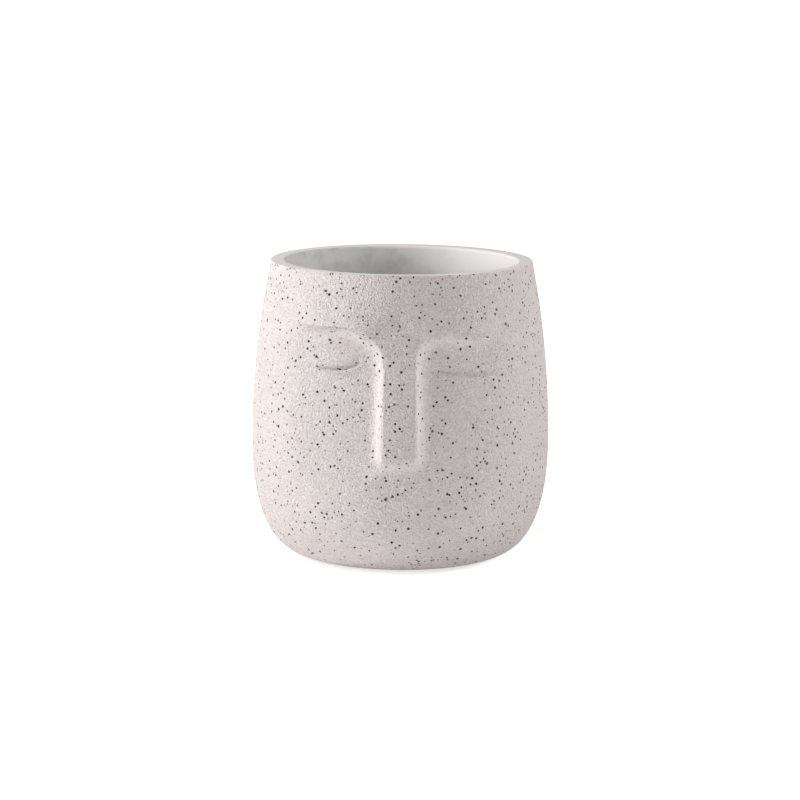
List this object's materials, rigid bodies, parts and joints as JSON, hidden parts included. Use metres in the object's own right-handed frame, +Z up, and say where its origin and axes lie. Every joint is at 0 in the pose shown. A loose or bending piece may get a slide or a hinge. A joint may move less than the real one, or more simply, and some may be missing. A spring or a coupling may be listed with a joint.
{
  "type": "head planter",
  "caption": "Round-bellied matte planter with a shallow abstract face on its front, an open mouth, a rubber drain plug, a loose drain screen and thin foot pads.",
  "frame": {"origin": "on the ground under the middle of the pot, level with the bottoms of the foot pads", "axes": "+Z up, the face looks towards -Y, +X to the right of someone looking at the face"},
  "size_m": [0.1202, 0.1202, 0.12],
  "materials": {
    "speckled_body": "matte",
    "plug_rubber": "matte",
    "screen_plastic": "satin",
    "pad_foam": "matte"
  },
  "bodies": {
    "pot": {"pot_body": "speckled_body", "foot_pad_1": "pad_foam", "foot_pad_2": "pad_foam", "foot_pad_3": "pad_foam", "foot_pad_4": "pad_foam"},
    "plug": {"drain_plug": "plug_rubber"},
    "screen": {"drain_screen": "screen_plastic"}
  },
  "joints": [
    {"name": "plug_pull", "type": "slide", "parent": "pot", "child": "plug", "axis": [0, 0, -1], "range_m": [0, 0.015]},
    {"name": "screen_lift", "type": "slide", "parent": "pot", "child": "screen", "axis": [0, 0, 1], "range_m": [0, 0.125]}
  ]
}
